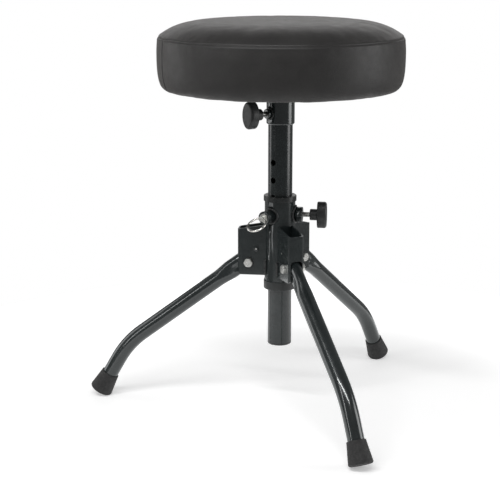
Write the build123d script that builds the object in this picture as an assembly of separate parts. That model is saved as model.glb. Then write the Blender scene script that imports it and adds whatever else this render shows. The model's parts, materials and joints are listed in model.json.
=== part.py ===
"""Drum throne: a round padded seat on a height-adjustable post, carried by three folding legs.

Everything is built about the column's own axis, in millimetres with +Z up and the floor at z = 0.
A piece that belongs to one side of the column is built in a radial frame, where x is the distance
from the column's axis, y runs round it anticlockwise and z is the height, and is then turned to
its azimuth. The export moves the whole throne so that the origin is the centre of its footprint.
"""

import os
from math import atan2, cos, pi, radians, sin, tan

from build123d import *

# ---------------------------------------------------------------- driving dimensions
GAP = 0.05  # clearance between pieces that stay together
SLIDE_GAP = 0.06  # radial clearance of a running or sliding fit
HOLE_GAP = 0.2  # radial clearance of a through hole for a screw
SOFT_EDGE = 1  # rounding of turned and moulded edges

# Directions round the column, in degrees from +X towards +Y
LEG_AZIMUTHS = {"front": -90, "right": 30, "left": 150}
LOCK_AZIMUTH = -150  # the locking pin, midway between the front and left legs
CLAMP_AZIMUTH = -30  # the post's clamp screw, midway between the front and right legs
SEAT_CLAMP_AZIMUTH = -165

# Post, which slides in the column
POST_RADIUS = 15
POST_WALL = 2
POST_BOTTOM = 83
POST_TOP = 397
PLUG_FLANGE = 2.5
PLUG_DEPTH = 14
PLUG_WALL = 2.5
PLUG_EDGE = 1.8
HOLE_PITCH = 22
HOLES_EACH_WAY = 3
HOLE_RADIUS = 3.75

# Column, the outer tube that the brackets are welded to
COLUMN_RADIUS = 19
COLUMN_WALL = 2
COLUMN_BOTTOM = 156
COLUMN_TOP = 269.5
BUSHING_RADIUS = 20.3
BUSHING_LIP = 2.6
UPPER_SKIRT = 4.2
LOWER_SKIRT = 8
BUSHING_DEPTH = 13
BUSHING_EDGE = 1.2
LOCK_HEIGHT = 248  # height of the locking pin and of the clamp screw

# Leg brackets: channels of bent sheet, open at the top, with the web outwards
BRACKET_SHEET = 2
BRACKET_WIDTH = 20
BRACKET_REACH = 52
BRACKET_BOTTOM = 171
BRACKET_TOP = 229  # at the web
BRACKET_TOP_SLOPE = 10  # the top edge rises towards the column
BRACKET_BEND = 4
BRACKET_TOE = 3.5  # chamfer of the cheeks' lower outer corners
WEB_BOTTOM = 194
WEB_NOTCH_TOP = 198.3
WEB_NOTCH_WIDTH = 15.2
WEB_NOTCH_CORNER = 4
RIVET_PLACE = (28.6, 204.2)
RIVET_RADIUS = 2
RIVET_HEAD_RADIUS = 3.4
RIVET_HEAD = 1.6
RIVET_HEAD_EDGE = 1.3
RIVET_CORE_RADIUS = 1.2
RIVET_CORE_RECESS = 0.4
WELD_SIZE = 3
WELD_LENGTH = 20
WELD_EDGE = 1.2
WELD_RADIUS = 2.1
WELD_CENTRE = 0.9  # how far a bead's centre stands out from the corner
BOSS_WELD_LENGTH = 5.5

# Legs: round tube, flattened where it enters its bracket, bent once above the foot
PIVOT_REACH = 38
PIVOT_HEIGHT = 187
LEG_RADIUS = 10
LEG_WALL = 1.5
LEG_DROOP = 37  # slope of the upper run below the horizontal
LEG_AXIS_OFFSET = 4  # the leg's centre line runs this far above the pivot
LEG_FLAT_HEIGHT = 23.5
LEG_FLAT_WIDTH = 14
LEG_END_RADIUS = 15.75  # the end is rounded about the pivot
LEG_FLAT_LENGTH = 24
LEG_TAPER_LENGTH = 24
TAPER_STEPS = 4
LEG_BEND_RADIUS = 120
FOOT_REACH = 235
FOOT_SPLAY = 29.7  # slope of the lower run from the vertical
BUSH_RADIUS = 5
BUSH_END_GAP = 0.3

# Rubber foot caps
CAP_END_RADIUS = 15
CAP_MOUTH_RADIUS = 11.5
CAP_LENGTH = 28
CAP_FLOOR = 6
CAP_EDGE = 2.5
CAP_MOUTH_BAND = 1.5
CAP_MOUTH_EDGE = 0.8
CAP_FLAT = 0.8  # depth of rubber worn flat where the foot stands

# M6 fasteners
BOLT_RADIUS = 3
HEX_ACROSS_FLATS = 10
HEX_EASE = 0.3  # how far the corners are eased inside the flats at the face
BOLT_HEAD = 4
WASHER_RADIUS = 6.5
WASHER_THICKNESS = 1
NUT_HEIGHT = 4.5
BOLT_TAIL = 0.6

# Locking pin, its housing and pull ring
HOUSING_RADIUS = 8
HOUSING_END = 34
SPRING_BORE = 5.6
PIN_TIP = 11.5
PIN_TIP_RADIUS = 3.4
PIN_TIP_CHAMFER = 0.8
PIN_COLLAR = (19.3, 21.0)
PIN_COLLAR_RADIUS = 5.3
PIN_TAIL_RADIUS = 3
PIN_END = 40.5
PIN_END_EDGE = 0.7
RING_EYE = 37.4  # distance of the ring's cross hole from the column's axis
RING_EYE_RADIUS = 1.65
RING_RADIUS = 11.6
RING_WIRE = 1.2
RING_DROOP = 31
HOUSING_CAP_DEPTH = 3.5
HOUSING_CAP_RECESS = 0.2
SPRING_WIRE = 0.45
SPRING_COIL = 4.6
SPRING_TURNS = 6

# Clamp screws and their oval knobs
CLAMP_BOSS_RADIUS = 9.3
CLAMP_BOSS_END = 28.3
PAD_TIP = 15.35
PAD_LENGTH = 2
PAD_RADIUS = 2.7
KNOB_NECK = 37.3  # where the post clamp's knob begins
SEAT_KNOB_NECK = 30.7
HUB_RADIUS = 7
HUB_LENGTH = 9.2
KNOB_LENGTH = 33
KNOB_WIDTH = 22
KNOB_DEPTH = 11.4
KNOB_EDGE = 2.8
KNOB_BACK_EDGE = 1.2
SCREW_IN_KNOB = 12
SCREW_CHAMFER = 0.5

# Seat
SEAT_RADIUS = 150
SEAT_BOTTOM = 403.6
SEAT_TOP = 485.7
SEAM_HEIGHT = 466.3
SEAM_RADIUS = 148.2
SEAT_LOWER_CORNER = 9.5
SEAT_LOWER_TUCK = 2.5  # how far the side draws in above the lower corner
SEAT_SIDE_BULGE_DROP = 24  # the widest place lies this far below the seam
SEAT_SHOULDER = ((14, 11.2), (32, 5))  # points in from the side and down from the top
COVER_THICKNESS = 1.2
COVER_HEM_RADIUS = 112
BOARD_RADIUS = 132
BOARD_THICKNESS = 14
CLOTH_RADIUS = 118
CLOTH_THICKNESS = 0.8
PLATE_SIZE = 110
PLATE_CORNER = 14
PLATE_THICKNESS = 3
SCREW_SPACING = 80
PAN_HEAD_RADIUS = 6
PAN_HEAD_HEIGHT = 3.4
PAN_HEAD_EDGE = 2.2
DRIVE_SOCKET_RADIUS = 2
DRIVE_SOCKET_DEPTH = 1.8
TEE_NUT_RADIUS = 4
TEE_FLANGE_RADIUS = 9
TEE_FLANGE = 1.2
TEE_NUT_DEPTH = 10
SOCKET_RADIUS = 17.25
SOCKET_BOTTOM = 360.3
SOCKET_EDGE = 2
SEAT_CLAMP_HEIGHT = 374
SEAT_BOSS_RADIUS = 6
SEAT_BOSS_END = 22.5

# ---------------------------------------------------------------- worked-out values
BORE_RADIUS = POST_RADIUS + SLIDE_GAP
SCREW_BORE = BOLT_RADIUS + SLIDE_GAP
HALF_WIDTH = BRACKET_WIDTH / 2
INNER_HALF_WIDTH = HALF_WIDTH - BRACKET_SHEET
PLATE_TOP = SEAT_BOTTOM - CLOTH_THICKNESS
PLATE_BOTTOM = PLATE_TOP - PLATE_THICKNESS
BOARD_BOTTOM = SEAT_BOTTOM + COVER_THICKNESS + GAP
BOARD_TOP = BOARD_BOTTOM + BOARD_THICKNESS
HALF_SPACING = SCREW_SPACING / 2
SCREW_PLACES = [(x, y) for x in (-HALF_SPACING, HALF_SPACING) for y in (-HALF_SPACING, HALF_SPACING)]
STANDING = (Align.CENTER, Align.CENTER, Align.MIN)  # a shape that stands on its origin

FOOT_TILT = radians(FOOT_SPLAY)
FOOT_DIRECTION = Vector(sin(FOOT_TILT), 0, -cos(FOOT_TILT))
CAP_EDGE_CENTRE = CAP_END_RADIUS - CAP_EDGE
# Height of the cap's end centre, so that its rounded edge reaches CAP_FLAT below the floor
FOOT_HEIGHT = CAP_EDGE_CENTRE * sin(FOOT_TILT) - CAP_EDGE * cos(FOOT_TILT) + CAP_EDGE - CAP_FLAT
FOOT_END = Vector(FOOT_REACH, 0, FOOT_HEIGHT)

LEG_SLOPE = radians(LEG_DROOP)
LEG_DIRECTION = Vector(cos(LEG_SLOPE), 0, -sin(LEG_SLOPE))
LEG_NORMAL = Vector(sin(LEG_SLOPE), 0, cos(LEG_SLOPE))
PIVOT = Vector(PIVOT_REACH, 0, PIVOT_HEIGHT)
LEG_START = PIVOT + LEG_NORMAL * LEG_AXIS_OFFSET

# Footprint: from the front foot's outermost edge to the back of the seat
FRONT_EXTENT = FOOT_REACH + CAP_EDGE_CENTRE * cos(FOOT_TILT) - CAP_EDGE * sin(FOOT_TILT) + CAP_EDGE
COLUMN_Y = (FRONT_EXTENT - SEAT_RADIUS) / 2


# ---------------------------------------------------------------- helpers
def turned(shape, azimuth):
    """Turn a shape from the radial frame to its azimuth round the column."""
    return Rot(0, 0, azimuth) * shape


def upright(radius, bottom, top):
    """Solid cylinder on the column's axis."""
    return Pos(0, 0, bottom) * Cylinder(radius, top - bottom, align=STANDING)


def outward(radius, start, end, height):
    """Solid cylinder along x, from one distance from the axis to another."""
    return Pos(start, 0, height) * Rot(0, 90, 0) * Cylinder(radius, end - start, align=STANDING)


def across(radius, start, end, x, z):
    """Solid cylinder along y."""
    return Pos(x, start, z) * Rot(-90, 0, 0) * Cylinder(radius, end - start, align=STANDING)


def group(shapes):
    """Identical separate pieces kept as one node."""
    return Compound([solid for shape in shapes for solid in shape.solids()])


# ---------------------------------------------------------------- column and post
def outer_tube():
    tube = upright(COLUMN_RADIUS, COLUMN_BOTTOM, COLUMN_TOP)
    tube -= upright(COLUMN_RADIUS - COLUMN_WALL, COLUMN_BOTTOM, COLUMN_TOP)
    pin_hole = outward(PIN_TIP_RADIUS + HOLE_GAP, 0, BRACKET_REACH, LOCK_HEIGHT)
    screw_hole = outward(BOLT_RADIUS + HOLE_GAP, 0, BRACKET_REACH, LOCK_HEIGHT)
    return tube - turned(pin_hole, LOCK_AZIMUTH) - turned(screw_hole, CLAMP_AZIMUTH)


def bushing(end, skirt, direction):
    """Plastic cap bushing on a tube end: a lip over the end, a skirt outside and a sleeve inside."""
    lip_end = end + direction * BUSHING_LIP
    skirt_end = end - direction * skirt
    sleeve_end = end - direction * BUSHING_DEPTH
    collar = upright(BUSHING_RADIUS, *sorted((skirt_end, lip_end)))
    collar = fillet(collar.edges().group_by(Axis.Z)[-1 if direction > 0 else 0], BUSHING_EDGE)
    tube_end = upright(COLUMN_RADIUS + GAP, *sorted((end + direction * GAP, sleeve_end)))
    sleeve = upright(COLUMN_RADIUS - COLUMN_WALL - GAP, *sorted((end, sleeve_end)))
    body = collar - tube_end
    body += sleeve
    body += upright(COLUMN_RADIUS - COLUMN_WALL - GAP, *sorted((end, lip_end - direction)))
    bore = upright(BORE_RADIUS, *sorted((lip_end, sleeve_end)))
    return body - bore


def post_tube():
    tube = upright(POST_RADIUS, POST_BOTTOM, POST_TOP)
    tube -= upright(POST_RADIUS - POST_WALL, POST_BOTTOM, POST_TOP)
    for step in range(-HOLES_EACH_WAY, HOLES_EACH_WAY + 1):
        height = LOCK_HEIGHT + step * HOLE_PITCH
        tube -= turned(outward(HOLE_RADIUS, 0, 2 * POST_RADIUS, height), LOCK_AZIMUTH)
    return tube


def post_end_plug():
    flange = upright(POST_RADIUS, POST_BOTTOM - PLUG_FLANGE, POST_BOTTOM)
    flange = fillet(flange.edges().group_by(Axis.Z)[0], PLUG_EDGE)
    stem = upright(POST_RADIUS - POST_WALL - GAP, POST_BOTTOM, POST_BOTTOM + PLUG_DEPTH)
    hollow = upright(POST_RADIUS - POST_WALL - PLUG_WALL, POST_BOTTOM, POST_BOTTOM + PLUG_DEPTH)
    return flange + stem - hollow


# ---------------------------------------------------------------- brackets
def bracket():
    """Channel welded to the column, with its web outwards and cut away below for the leg."""
    slope = radians(BRACKET_TOP_SLOPE)
    height = BRACKET_TOP + BRACKET_REACH * tan(slope) - BRACKET_BOTTOM
    from_axis = (Align.MIN, Align.CENTER, Align.MIN)
    channel = Pos(0, 0, BRACKET_BOTTOM) * Box(BRACKET_REACH, BRACKET_WIDTH, height, align=from_axis)
    corners = channel.edges().filter_by(Axis.Z).group_by(Axis.X)[-1]
    channel = fillet(corners, BRACKET_BEND)
    web = BRACKET_REACH - BRACKET_SHEET
    inside = Pos(0, 0, BRACKET_BOTTOM) * Box(web, 2 * INNER_HALF_WIDTH, height, align=from_axis)
    corners = inside.edges().filter_by(Axis.Z).group_by(Axis.X)[-1]
    channel -= fillet(corners, BRACKET_BEND - BRACKET_SHEET)
    above = Box(2 * BRACKET_REACH, 2 * BRACKET_WIDTH, height, align=STANDING)
    channel -= Pos(BRACKET_REACH, 0, BRACKET_TOP) * Rot(0, BRACKET_TOP_SLOPE, 0) * above
    toe = Box(BRACKET_TOE * 2**0.5, 2 * BRACKET_WIDTH, BRACKET_TOE * 2**0.5)
    channel -= Pos(BRACKET_REACH, 0, BRACKET_BOTTOM) * Rot(0, 45, 0) * toe
    # The web stops above the leg, with an arch for the leg's rounded top
    arch = Box(2 * BRACKET_BEND, WEB_NOTCH_WIDTH, WEB_NOTCH_TOP - BRACKET_BOTTOM, align=from_axis)
    arch = fillet(arch.edges().filter_by(Axis.X).group_by(Axis.Z)[-1], WEB_NOTCH_CORNER)
    channel -= Pos(web - BRACKET_SHEET, 0, BRACKET_BOTTOM) * arch
    channel -= upright(COLUMN_RADIUS, BRACKET_BOTTOM, BRACKET_BOTTOM + height)
    channel -= across(SCREW_BORE, -HALF_WIDTH, HALF_WIDTH, PIVOT_REACH, PIVOT_HEIGHT)
    channel -= across(RIVET_RADIUS + GAP, -HALF_WIDTH, HALF_WIDTH, *RIVET_PLACE)
    return channel


def bracket_rivet():
    """Hollow rivet across the cheeks, with a domed head on one side and a flush end on the other."""
    head_end = HALF_WIDTH + RIVET_HEAD
    shank = across(RIVET_RADIUS, -HALF_WIDTH, HALF_WIDTH, *RIVET_PLACE)
    dome = across(RIVET_HEAD_RADIUS, HALF_WIDTH, head_end, *RIVET_PLACE)
    dome = fillet(dome.edges().group_by(Axis.Y)[-1], RIVET_HEAD_EDGE)
    return shank + dome - across(RIVET_CORE_RADIUS + GAP, -HALF_WIDTH, head_end, *RIVET_PLACE)


def rivet_core():
    """The rivet's pulled pin, broken off just inside the head."""
    end = HALF_WIDTH + RIVET_HEAD - RIVET_CORE_RECESS
    return across(RIVET_CORE_RADIUS, -HALF_WIDTH, end, *RIVET_PLACE)


def weld_ring(radius, height):
    """Weld round the root of a boss that stands out of the column."""
    flare = Cone(radius + WELD_SIZE, radius, BOSS_WELD_LENGTH, align=STANDING)
    ring = Pos(COLUMN_RADIUS + WELD_SIZE - BOSS_WELD_LENGTH, 0, height) * Rot(0, 90, 0) * flare
    ring -= outward(radius + GAP, 0, BRACKET_REACH, height)
    return ring - upright(COLUMN_RADIUS + GAP, COLUMN_BOTTOM, COLUMN_TOP)


def weld_bead(side):
    """Weld along the lower part of the corner between a cheek and the column."""
    corner = (COLUMN_RADIUS**2 - HALF_WIDTH**2) ** 0.5
    rod = Cylinder(WELD_RADIUS, WELD_LENGTH, align=STANDING)
    rod = Pos(corner + WELD_CENTRE, side * (HALF_WIDTH + WELD_CENTRE), BRACKET_BOTTOM + SOFT_EDGE) * rod
    rod = fillet(rod.edges(), WELD_EDGE)
    cheek = Box(2 * BRACKET_REACH, BRACKET_WIDTH + 2 * GAP, BRACKET_TOP, align=STANDING)
    return rod - cheek - upright(COLUMN_RADIUS + GAP, COLUMN_BOTTOM, COLUMN_TOP)


# ---------------------------------------------------------------- legs
def leg_section(share, inset):
    """Outline of the leg tube: flattened at share 0, round at share 1, set in by the wall.

    Four arcs join four corners, so that every section has matching edges.
    """
    width = LEG_FLAT_WIDTH / 2 - inset
    height = LEG_FLAT_HEIGHT / 2 - inset
    radius = LEG_RADIUS - inset
    straight = LEG_FLAT_HEIGHT / 2 - LEG_FLAT_WIDTH / 2
    side = atan2(straight, LEG_RADIUS)
    corner_x, corner_y = radius * sin(side), radius * cos(side)
    flat = [(straight, width), (height, 0), (straight, -width), (0, -width - GAP)]
    ring = [(corner_x, corner_y), (radius, 0), (corner_x, -corner_y), (0, -radius)]
    half = [Vector(*a) * (1 - share) + Vector(*b) * share for a, b in zip(flat, ring)]
    points = half + [-v for v in half] + half[:1]
    arcs = [ThreePointArc(*points[i : i + 3]) for i in range(0, len(points) - 1, 2)]
    return make_face(arcs)


def leg_plane(distance):
    """Plane across the leg's upper run, with its x axis towards the leg's top side."""
    return Plane(origin=LEG_START + LEG_DIRECTION * distance, x_dir=LEG_NORMAL, z_dir=LEG_DIRECTION)


def smooth_step(t):
    return t * t * (3 - 2 * t)


def leg_solid(inset, overrun):
    """The leg's outer body (inset 0) or its hollow (inset of the wall)."""
    back = LEG_END_RADIUS + overrun
    flat = extrude(leg_plane(-back) * leg_section(0, inset), back + LEG_FLAT_LENGTH, dir=LEG_DIRECTION)
    steps = [i / TAPER_STEPS for i in range(TAPER_STEPS + 1)]
    sections = [
        leg_plane(LEG_FLAT_LENGTH + t * LEG_TAPER_LENGTH) * leg_section(smooth_step(t), inset) for t in steps
    ]
    round_from = LEG_FLAT_LENGTH + LEG_TAPER_LENGTH
    end = FOOT_END - FOOT_DIRECTION * (CAP_FLOOR + GAP - overrun)
    path = FilletPolyline(LEG_START + LEG_DIRECTION * round_from, knee_point(), end, radius=LEG_BEND_RADIUS)
    run = sweep(leg_plane(round_from) * leg_section(1, inset), path)
    return flat + loft(sections) + run


def knee_point():
    """Where the centre lines of the upper and lower runs cross."""
    rise = LEG_START.Z - FOOT_END.Z
    span = FOOT_END.X - LEG_START.X
    # Upper run: z falls by tan(slope) per unit of x. Lower run: x falls by tan(tilt) per unit of z.
    height = (rise - span * tan(LEG_SLOPE)) / (1 - tan(LEG_SLOPE) * tan(FOOT_TILT))
    return Vector(FOOT_END.X - height * tan(FOOT_TILT), 0, FOOT_END.Z + height)


def leg_tube():
    tube = leg_solid(0, 0) - leg_solid(LEG_WALL, SOFT_EDGE)
    # Round the end about the pivot
    rounded = across(LEG_END_RADIUS, -HALF_WIDTH, HALF_WIDTH, PIVOT.X, PIVOT.Z)
    square = Cylinder(2 * LEG_END_RADIUS, 2 * LEG_END_RADIUS, align=(Align.CENTER, Align.CENTER, Align.MAX))
    tube -= leg_plane(0) * square - rounded
    return tube - across(BUSH_RADIUS + GAP, -HALF_WIDTH, HALF_WIDTH, PIVOT.X, PIVOT.Z)


def pivot_bush():
    """Spacer tube through the flattened end, which turns on the pivot bolt."""
    half = INNER_HALF_WIDTH - BUSH_END_GAP
    bush = across(BUSH_RADIUS, -half, half, PIVOT.X, PIVOT.Z)
    return bush - across(SCREW_BORE, -half, half, PIVOT.X, PIVOT.Z)


def foot_cap():
    """Tapered rubber cap with a closed end, worn flat where it stands."""
    cone = Cone(CAP_END_RADIUS, CAP_MOUTH_RADIUS, CAP_LENGTH - CAP_MOUTH_BAND, align=STANDING)
    body = cone + upright(CAP_MOUTH_RADIUS, CAP_LENGTH - CAP_MOUTH_BAND, CAP_LENGTH)
    body = fillet(body.edges().group_by(Axis.Z)[0], CAP_EDGE)
    body = fillet(body.edges().group_by(Axis.Z)[-1], CAP_MOUTH_EDGE)
    body -= upright(LEG_RADIUS + GAP, CAP_FLOOR, CAP_LENGTH)
    placed = Plane(origin=FOOT_END, x_dir=(0, 1, 0), z_dir=-FOOT_DIRECTION) * body
    floor = Cylinder(2 * CAP_END_RADIUS, CAP_END_RADIUS, align=(Align.CENTER, Align.CENTER, Align.MAX))
    return placed - Pos(FOOT_REACH, 0, 0) * floor


# ---------------------------------------------------------------- fasteners
def hexagon(across_flats, start, end, x, z):
    """Six-sided prism along y, with its corners eased."""
    height = end - start
    prism = extrude(RegularPolygon(across_flats / 2, 6, major_radius=False), height)
    ease = Cone(across_flats / 2 - HEX_EASE + height, across_flats / 2 - HEX_EASE, height, align=STANDING)
    return Pos(x, start, z) * Rot(-90, 0, 0) * (prism & ease)


def pivot_bolt():
    tip = HALF_WIDTH + WASHER_THICKNESS + NUT_HEIGHT + BOLT_TAIL
    shank = across(BOLT_RADIUS, -HALF_WIDTH, tip, PIVOT.X, PIVOT.Z)
    head = hexagon(HEX_ACROSS_FLATS, HALF_WIDTH, HALF_WIDTH + BOLT_HEAD, PIVOT.X, PIVOT.Z)
    return head.mirror(Plane.XZ) + shank


def pivot_washer():
    outer = HALF_WIDTH + WASHER_THICKNESS
    ring = across(WASHER_RADIUS, HALF_WIDTH, outer, PIVOT.X, PIVOT.Z)
    return ring - across(BOLT_RADIUS + HOLE_GAP, HALF_WIDTH, outer, PIVOT.X, PIVOT.Z)


def pivot_nut():
    start = HALF_WIDTH + WASHER_THICKNESS
    nut = hexagon(HEX_ACROSS_FLATS, start, start + NUT_HEIGHT, PIVOT.X, PIVOT.Z)
    return nut - across(BOLT_RADIUS + GAP, start, start + NUT_HEIGHT, PIVOT.X, PIVOT.Z)


# ---------------------------------------------------------------- locking pin
def pin_housing():
    body = outward(HOUSING_RADIUS, 0, HOUSING_END, LOCK_HEIGHT)
    body = fillet(body.edges().group_by(Axis.X)[-1], SOFT_EDGE)
    body -= outward(SPRING_BORE, 0, HOUSING_END, LOCK_HEIGHT)
    return body - upright(COLUMN_RADIUS, COLUMN_BOTTOM, COLUMN_TOP)


def housing_cap():
    """Ring pressed into the housing's mouth, which holds the spring in and guides the pin."""
    start = HOUSING_END - HOUSING_CAP_DEPTH
    ring = outward(SPRING_BORE - GAP, start, HOUSING_END - HOUSING_CAP_RECESS, LOCK_HEIGHT)
    return ring - outward(PIN_TAIL_RADIUS + SLIDE_GAP, 0, HOUSING_END, LOCK_HEIGHT)


def locking_pin():
    tip = outward(PIN_TIP_RADIUS, PIN_TIP, PIN_COLLAR[0], LOCK_HEIGHT)
    tip = chamfer(tip.edges().group_by(Axis.X)[0], PIN_TIP_CHAMFER)
    collar = outward(PIN_COLLAR_RADIUS, *PIN_COLLAR, LOCK_HEIGHT)
    tail = outward(PIN_TAIL_RADIUS, PIN_COLLAR[1], PIN_END, LOCK_HEIGHT)
    tail = fillet(tail.edges().group_by(Axis.X)[-1], PIN_END_EDGE)
    eye = across(RING_EYE_RADIUS, -HOUSING_RADIUS, HOUSING_RADIUS, RING_EYE, LOCK_HEIGHT)
    return tip + collar + tail - eye


def pin_spring():
    start = PIN_COLLAR[1] + SPRING_WIRE + GAP
    length = HOUSING_END - HOUSING_CAP_DEPTH - SPRING_WIRE - GAP - start
    line = Helix(pitch=length / SPRING_TURNS, height=length, radius=SPRING_COIL)
    section = Plane(origin=line @ 0, z_dir=line % 0) * Circle(SPRING_WIRE)
    return Pos(start, 0, LOCK_HEIGHT) * Rot(0, 90, 0) * sweep(section, line, is_frenet=True)


def pull_ring():
    """Wire ring through the pin's cross hole, drooping outwards."""
    droop = radians(RING_DROOP)
    centre = Vector(RING_EYE + RING_RADIUS * cos(droop), 0, LOCK_HEIGHT - RING_RADIUS * sin(droop))
    return Pos(*centre) * Rot(0, RING_DROOP, 0) * Torus(RING_RADIUS, RING_WIRE)


# ---------------------------------------------------------------- clamp screws
def clamp_pad(height):
    """Plastic tip between the screw's end and the tube that it presses on."""
    return outward(PAD_RADIUS, PAD_TIP, PAD_TIP + PAD_LENGTH, height)


def clamp_screw(neck, height):
    screw = outward(BOLT_RADIUS, PAD_TIP + PAD_LENGTH + GAP, neck + SCREW_IN_KNOB, height)
    return chamfer(screw.edges().group_by(Axis.X)[0], SCREW_CHAMFER)


def oval_knob(neck, height):
    """Moulded knob: a round hub behind an oval head."""
    hub = outward(HUB_RADIUS, neck, neck + HUB_LENGTH + KNOB_DEPTH / 2, height)
    hub = fillet(hub.edges().group_by(Axis.X)[0], SOFT_EDGE)
    head_plane = Plane(origin=(neck + HUB_LENGTH, 0, height), x_dir=(0, 0, 1), z_dir=(1, 0, 0))
    head = extrude(head_plane * Ellipse(KNOB_LENGTH / 2, KNOB_WIDTH / 2), KNOB_DEPTH)
    head = fillet(head.edges().group_by(Axis.X)[-1], KNOB_EDGE)
    head = fillet(head.edges().group_by(Axis.X)[0], KNOB_BACK_EDGE)
    hole = outward(BOLT_RADIUS + GAP, neck, neck + SCREW_IN_KNOB + GAP, height)
    return hub + head - hole


def threaded_boss(radius, root, end, height):
    """Boss welded to a tube whose outside radius is root."""
    body = outward(radius, 0, end, height)
    body = fillet(body.edges().group_by(Axis.X)[-1], SOFT_EDGE)
    return body - outward(SCREW_BORE, 0, end, height) - upright(root, height - radius, height + radius)


# ---------------------------------------------------------------- seat
def seat_outline(inset):
    """Half outline of the cushion, set in by the given thickness."""
    r = SEAT_RADIUS - inset
    low = SEAT_BOTTOM + inset
    top = SEAT_TOP - inset
    seam = (SEAM_RADIUS - inset, SEAM_HEIGHT - inset / 2)
    turn = SEAT_LOWER_CORNER * (1 - cos(pi / 4))
    lower = (r - SEAT_LOWER_TUCK, low + SEAT_LOWER_CORNER)
    flat = (lower[0] - SEAT_LOWER_CORNER, low)
    middle, inner = [(r - x, top - z) for x, z in SEAT_SHOULDER]
    bottom = ThreePointArc(flat, (lower[0] - turn, low + turn), lower)
    side = ThreePointArc(lower, (r, SEAM_HEIGHT - SEAT_SIDE_BULGE_DROP), seam)
    shoulder = ThreePointArc(seam, middle, inner)
    crown = TangentArc((0, top), inner, tangent=(1, 0))
    closing = Polyline((0, top), (0, low), flat)
    return Plane.XZ * make_face([bottom, side, shoulder, crown, closing])


def seat_cover():
    """Sewn cover drawn round the cushion and hemmed under the board."""
    skin = revolve(seat_outline(0), Axis.Z) - revolve(seat_outline(COVER_THICKNESS), Axis.Z)
    return skin - upright(COVER_HEM_RADIUS, SEAT_BOTTOM, BOARD_BOTTOM)


def seat_foam():
    foam = revolve(seat_outline(COVER_THICKNESS + GAP), Axis.Z)
    foam -= upright(BOARD_RADIUS + GAP, SEAT_BOTTOM, BOARD_TOP + GAP)
    for x, y in SCREW_PLACES:
        foam -= Pos(x, y, 0) * upright(TEE_FLANGE_RADIUS + GAP, BOARD_TOP, BOARD_TOP + TEE_FLANGE + GAP)
    return foam


def seat_board():
    board = upright(BOARD_RADIUS, BOARD_BOTTOM, BOARD_TOP)
    for x, y in SCREW_PLACES:
        board -= Pos(x, y, 0) * upright(TEE_NUT_RADIUS + GAP, BOARD_BOTTOM, BOARD_TOP)
    return board


def underside_cloth():
    cloth = upright(CLOTH_RADIUS, PLATE_TOP, SEAT_BOTTOM)
    for x, y in SCREW_PLACES:
        cloth -= Pos(x, y, 0) * upright(BOLT_RADIUS + HOLE_GAP, PLATE_TOP, SEAT_BOTTOM)
    return cloth


def tee_nut(x, y):
    bottom, top = BOARD_TOP - TEE_NUT_DEPTH, BOARD_TOP + TEE_FLANGE
    barrel = upright(TEE_NUT_RADIUS, bottom, BOARD_TOP)
    flange = upright(TEE_FLANGE_RADIUS, BOARD_TOP, top)
    return Pos(x, y, 0) * (barrel + flange - upright(BOLT_RADIUS + GAP, bottom, top))


def plate_screw(x, y):
    head = upright(PAN_HEAD_RADIUS, PLATE_BOTTOM - PAN_HEAD_HEIGHT, PLATE_BOTTOM)
    head = fillet(head.edges().group_by(Axis.Z)[0], PAN_HEAD_EDGE)
    drive = extrude(RegularPolygon(DRIVE_SOCKET_RADIUS, 6, major_radius=False), DRIVE_SOCKET_DEPTH)
    head -= Pos(0, 0, PLATE_BOTTOM - PAN_HEAD_HEIGHT) * drive
    shank = upright(BOLT_RADIUS, PLATE_BOTTOM, BOARD_TOP)
    return Pos(x, y, 0) * (head + shank)


def seat_plate():
    plate = extrude(RectangleRounded(PLATE_SIZE, PLATE_SIZE, PLATE_CORNER), PLATE_THICKNESS)
    plate = Pos(0, 0, PLATE_BOTTOM) * plate
    for x, y in SCREW_PLACES:
        plate -= Pos(x, y, 0) * upright(BOLT_RADIUS + HOLE_GAP, PLATE_BOTTOM, PLATE_TOP)
    return plate


def seat_socket():
    tube = upright(SOCKET_RADIUS, SOCKET_BOTTOM, PLATE_BOTTOM)
    tube = fillet(tube.edges().group_by(Axis.Z)[0], SOCKET_EDGE)
    tube -= upright(BORE_RADIUS, SOCKET_BOTTOM, PLATE_BOTTOM)
    hole = outward(BOLT_RADIUS + HOLE_GAP, 0, SEAT_BOSS_END, SEAT_CLAMP_HEIGHT)
    return tube - turned(hole, SEAT_CLAMP_AZIMUTH)


def socket_weld():
    """Weld round the top of the socket, under the plate."""
    flare = Cone(SOCKET_RADIUS, SOCKET_RADIUS + WELD_SIZE, WELD_SIZE, align=STANDING)
    return Pos(0, 0, PLATE_BOTTOM - WELD_SIZE) * flare - upright(SOCKET_RADIUS, SOCKET_BOTTOM, PLATE_BOTTOM)


# ---------------------------------------------------------------- the whole throne
def welds():
    beads = [turned(weld_bead(side), azimuth) for azimuth in LEG_AZIMUTHS.values() for side in (-1, 1)]
    rings = [
        turned(weld_ring(HOUSING_RADIUS, LOCK_HEIGHT), LOCK_AZIMUTH),
        turned(weld_ring(CLAMP_BOSS_RADIUS, LOCK_HEIGHT), CLAMP_AZIMUTH),
    ]
    return group(beads + rings)


def at_each_leg(shape):
    return group([turned(shape, azimuth) for azimuth in LEG_AZIMUTHS.values()])


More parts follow.
